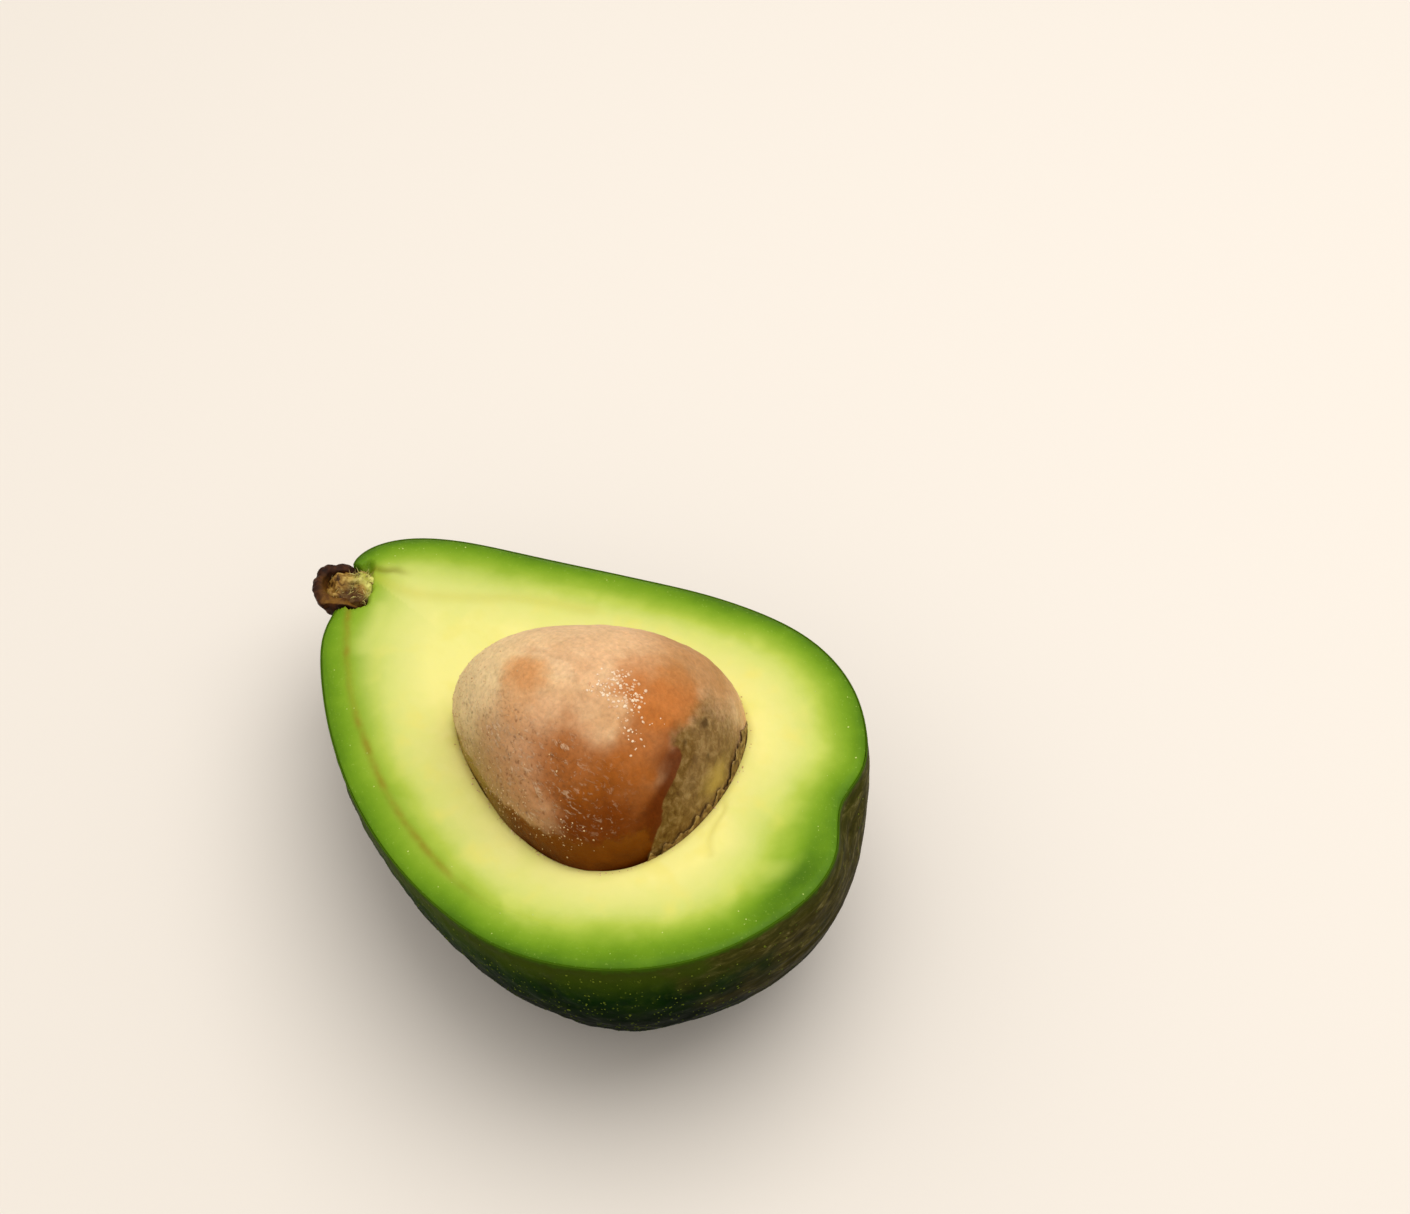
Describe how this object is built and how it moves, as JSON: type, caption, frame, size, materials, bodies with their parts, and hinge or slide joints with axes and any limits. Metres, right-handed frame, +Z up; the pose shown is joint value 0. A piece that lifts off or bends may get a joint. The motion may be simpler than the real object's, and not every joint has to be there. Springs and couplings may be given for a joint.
{
  "type": "avocado half",
  "caption": "Pear-shaped avocado half, cut lengthwise, lying cut face up on its rounded back with the whole seed in its hollow and a short stem stub.",
  "frame": {"origin": "on the surface the half lies on, at the middle of its bounding box seen from above", "axes": "+Z up; +X from the stem at the narrow end towards the broad end"},
  "size_m": [0.1058, 0.0722, 0.0536],
  "materials": {
    "flesh": "satin",
    "skin": "gloss",
    "seed": "satin",
    "stem": "matte"
  },
  "bodies": {
    "root": {"fruit_half": "flesh", "seed": "seed", "stem": "stem"}
  },
  "joints": []
}
